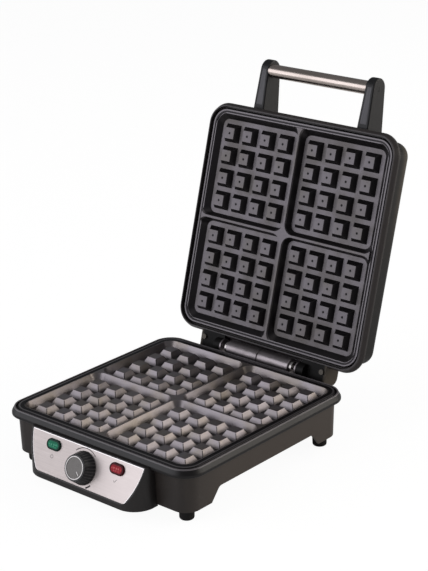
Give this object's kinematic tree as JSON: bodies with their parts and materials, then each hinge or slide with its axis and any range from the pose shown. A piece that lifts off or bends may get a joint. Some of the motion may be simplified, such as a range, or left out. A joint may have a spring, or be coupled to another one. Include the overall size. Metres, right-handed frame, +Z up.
{
  "type": "waffle maker",
  "caption": "Square electric waffle maker, shown open: studded plates in four quarters, hinged lid with bar handle, sloping front panel with a fluted knob and lamps.",
  "frame": {"origin": "centre of the cooking plates, on the surface the feet stand on", "axes": "+Z up, controls face -Y, +X to the right of someone facing the controls; the hinge runs along X behind the base"},
  "size_m": [0.269, 0.4326, 0.3816],
  "materials": {
    "housing_plastic": "satin black-brown moulding",
    "lug_plastic": "satin black moulding",
    "handle_plastic": "charcoal moulding",
    "strip_metal": "fine brushed inset",
    "plate_casting": "die casting with dark non-stick coating",
    "fascia_steel": "brushed",
    "bar_steel": "satin tube",
    "hinge_steel": "dark satin",
    "bright_steel": "turned",
    "screw_steel": "zinc plated",
    "element_steel": "heat-tinted tube",
    "reflector_sheet": "plain sheet",
    "foot_rubber": "matt",
    "red_lens": "clear red",
    "green_lens": "clear green",
    "neon_glass": "clear",
    "thermostat_case": "stamped case",
    "nut_brass": "turned",
    "ceramic_block": "pale moulded",
    "knob_plastic": "fluted black",
    "knob_chrome": "bright ring",
    "cap_grey": "fine satin"
  },
  "bodies": {
    "base": {"base_housing": "housing_plastic", "bottom_cover": "reflector_sheet", "cover_screws": "screw_steel", "rubber_feet": "foot_rubber", "lower_plate": "plate_casting", "lower_heating_element": "element_steel", "lower_element_clips": "screw_steel", "lower_reflector": "reflector_sheet", "lower_plate_screws": "screw_steel", "control_housing": "housing_plastic", "control_fascia": "fascia_steel", "power_lamp_lens": "green_lens", "ready_lamp_lens": "red_lens", "indicator_neons": "neon_glass", "thermostat_body": "thermostat_case", "thermostat_nut": "nut_brass", "terminal_block": "ceramic_block", "thermal_cutout": "thermostat_case", "inlet_bush": "foot_rubber", "hinge_brackets": "bright_steel", "hinge_bracket_screws": "screw_steel", "hinge_rod": "bright_steel", "hinge_sleeves": "hinge_steel", "hinge_collars": "bright_steel"},
    "lid": {"lid_housing": "housing_plastic", "upper_plate": "plate_casting", "upper_heating_element": "element_steel", "upper_element_clips": "screw_steel", "upper_reflector": "reflector_sheet", "upper_plate_screws": "screw_steel", "hinge_lug_left": "lug_plastic", "hinge_lug_right": "lug_plastic", "lug_fixing_screws": "screw_steel", "lug_face_screws": "screw_steel", "handle_arm_left": "handle_plastic", "handle_arm_right": "handle_plastic", "handle_arm_screws": "screw_steel", "handle_arm_strips": "strip_metal", "handle_bar": "bar_steel", "handle_tie_rod": "bright_steel", "handle_end_screws": "screw_steel", "handle_end_plugs": "handle_plastic"},
    "knob": {"control_knob": "knob_plastic", "knob_ring": "knob_chrome", "knob_cap": "cap_grey", "thermostat_shaft": "bright_steel"}
  },
  "joints": [
    {"name": "lid_hinge", "type": "hinge", "parent": "base", "child": "lid", "pos_m": [0, 0.1439, 0.065], "axis": [1, 0, 0], "range_deg": [0, 105.8]},
    {"name": "knob_turn", "type": "hinge", "parent": "base", "child": "knob", "pos_m": [0, -0.14717, 0.03652], "axis": [0, -0.9316, 0.3636], "range_deg": [0, 264]}
  ]
}
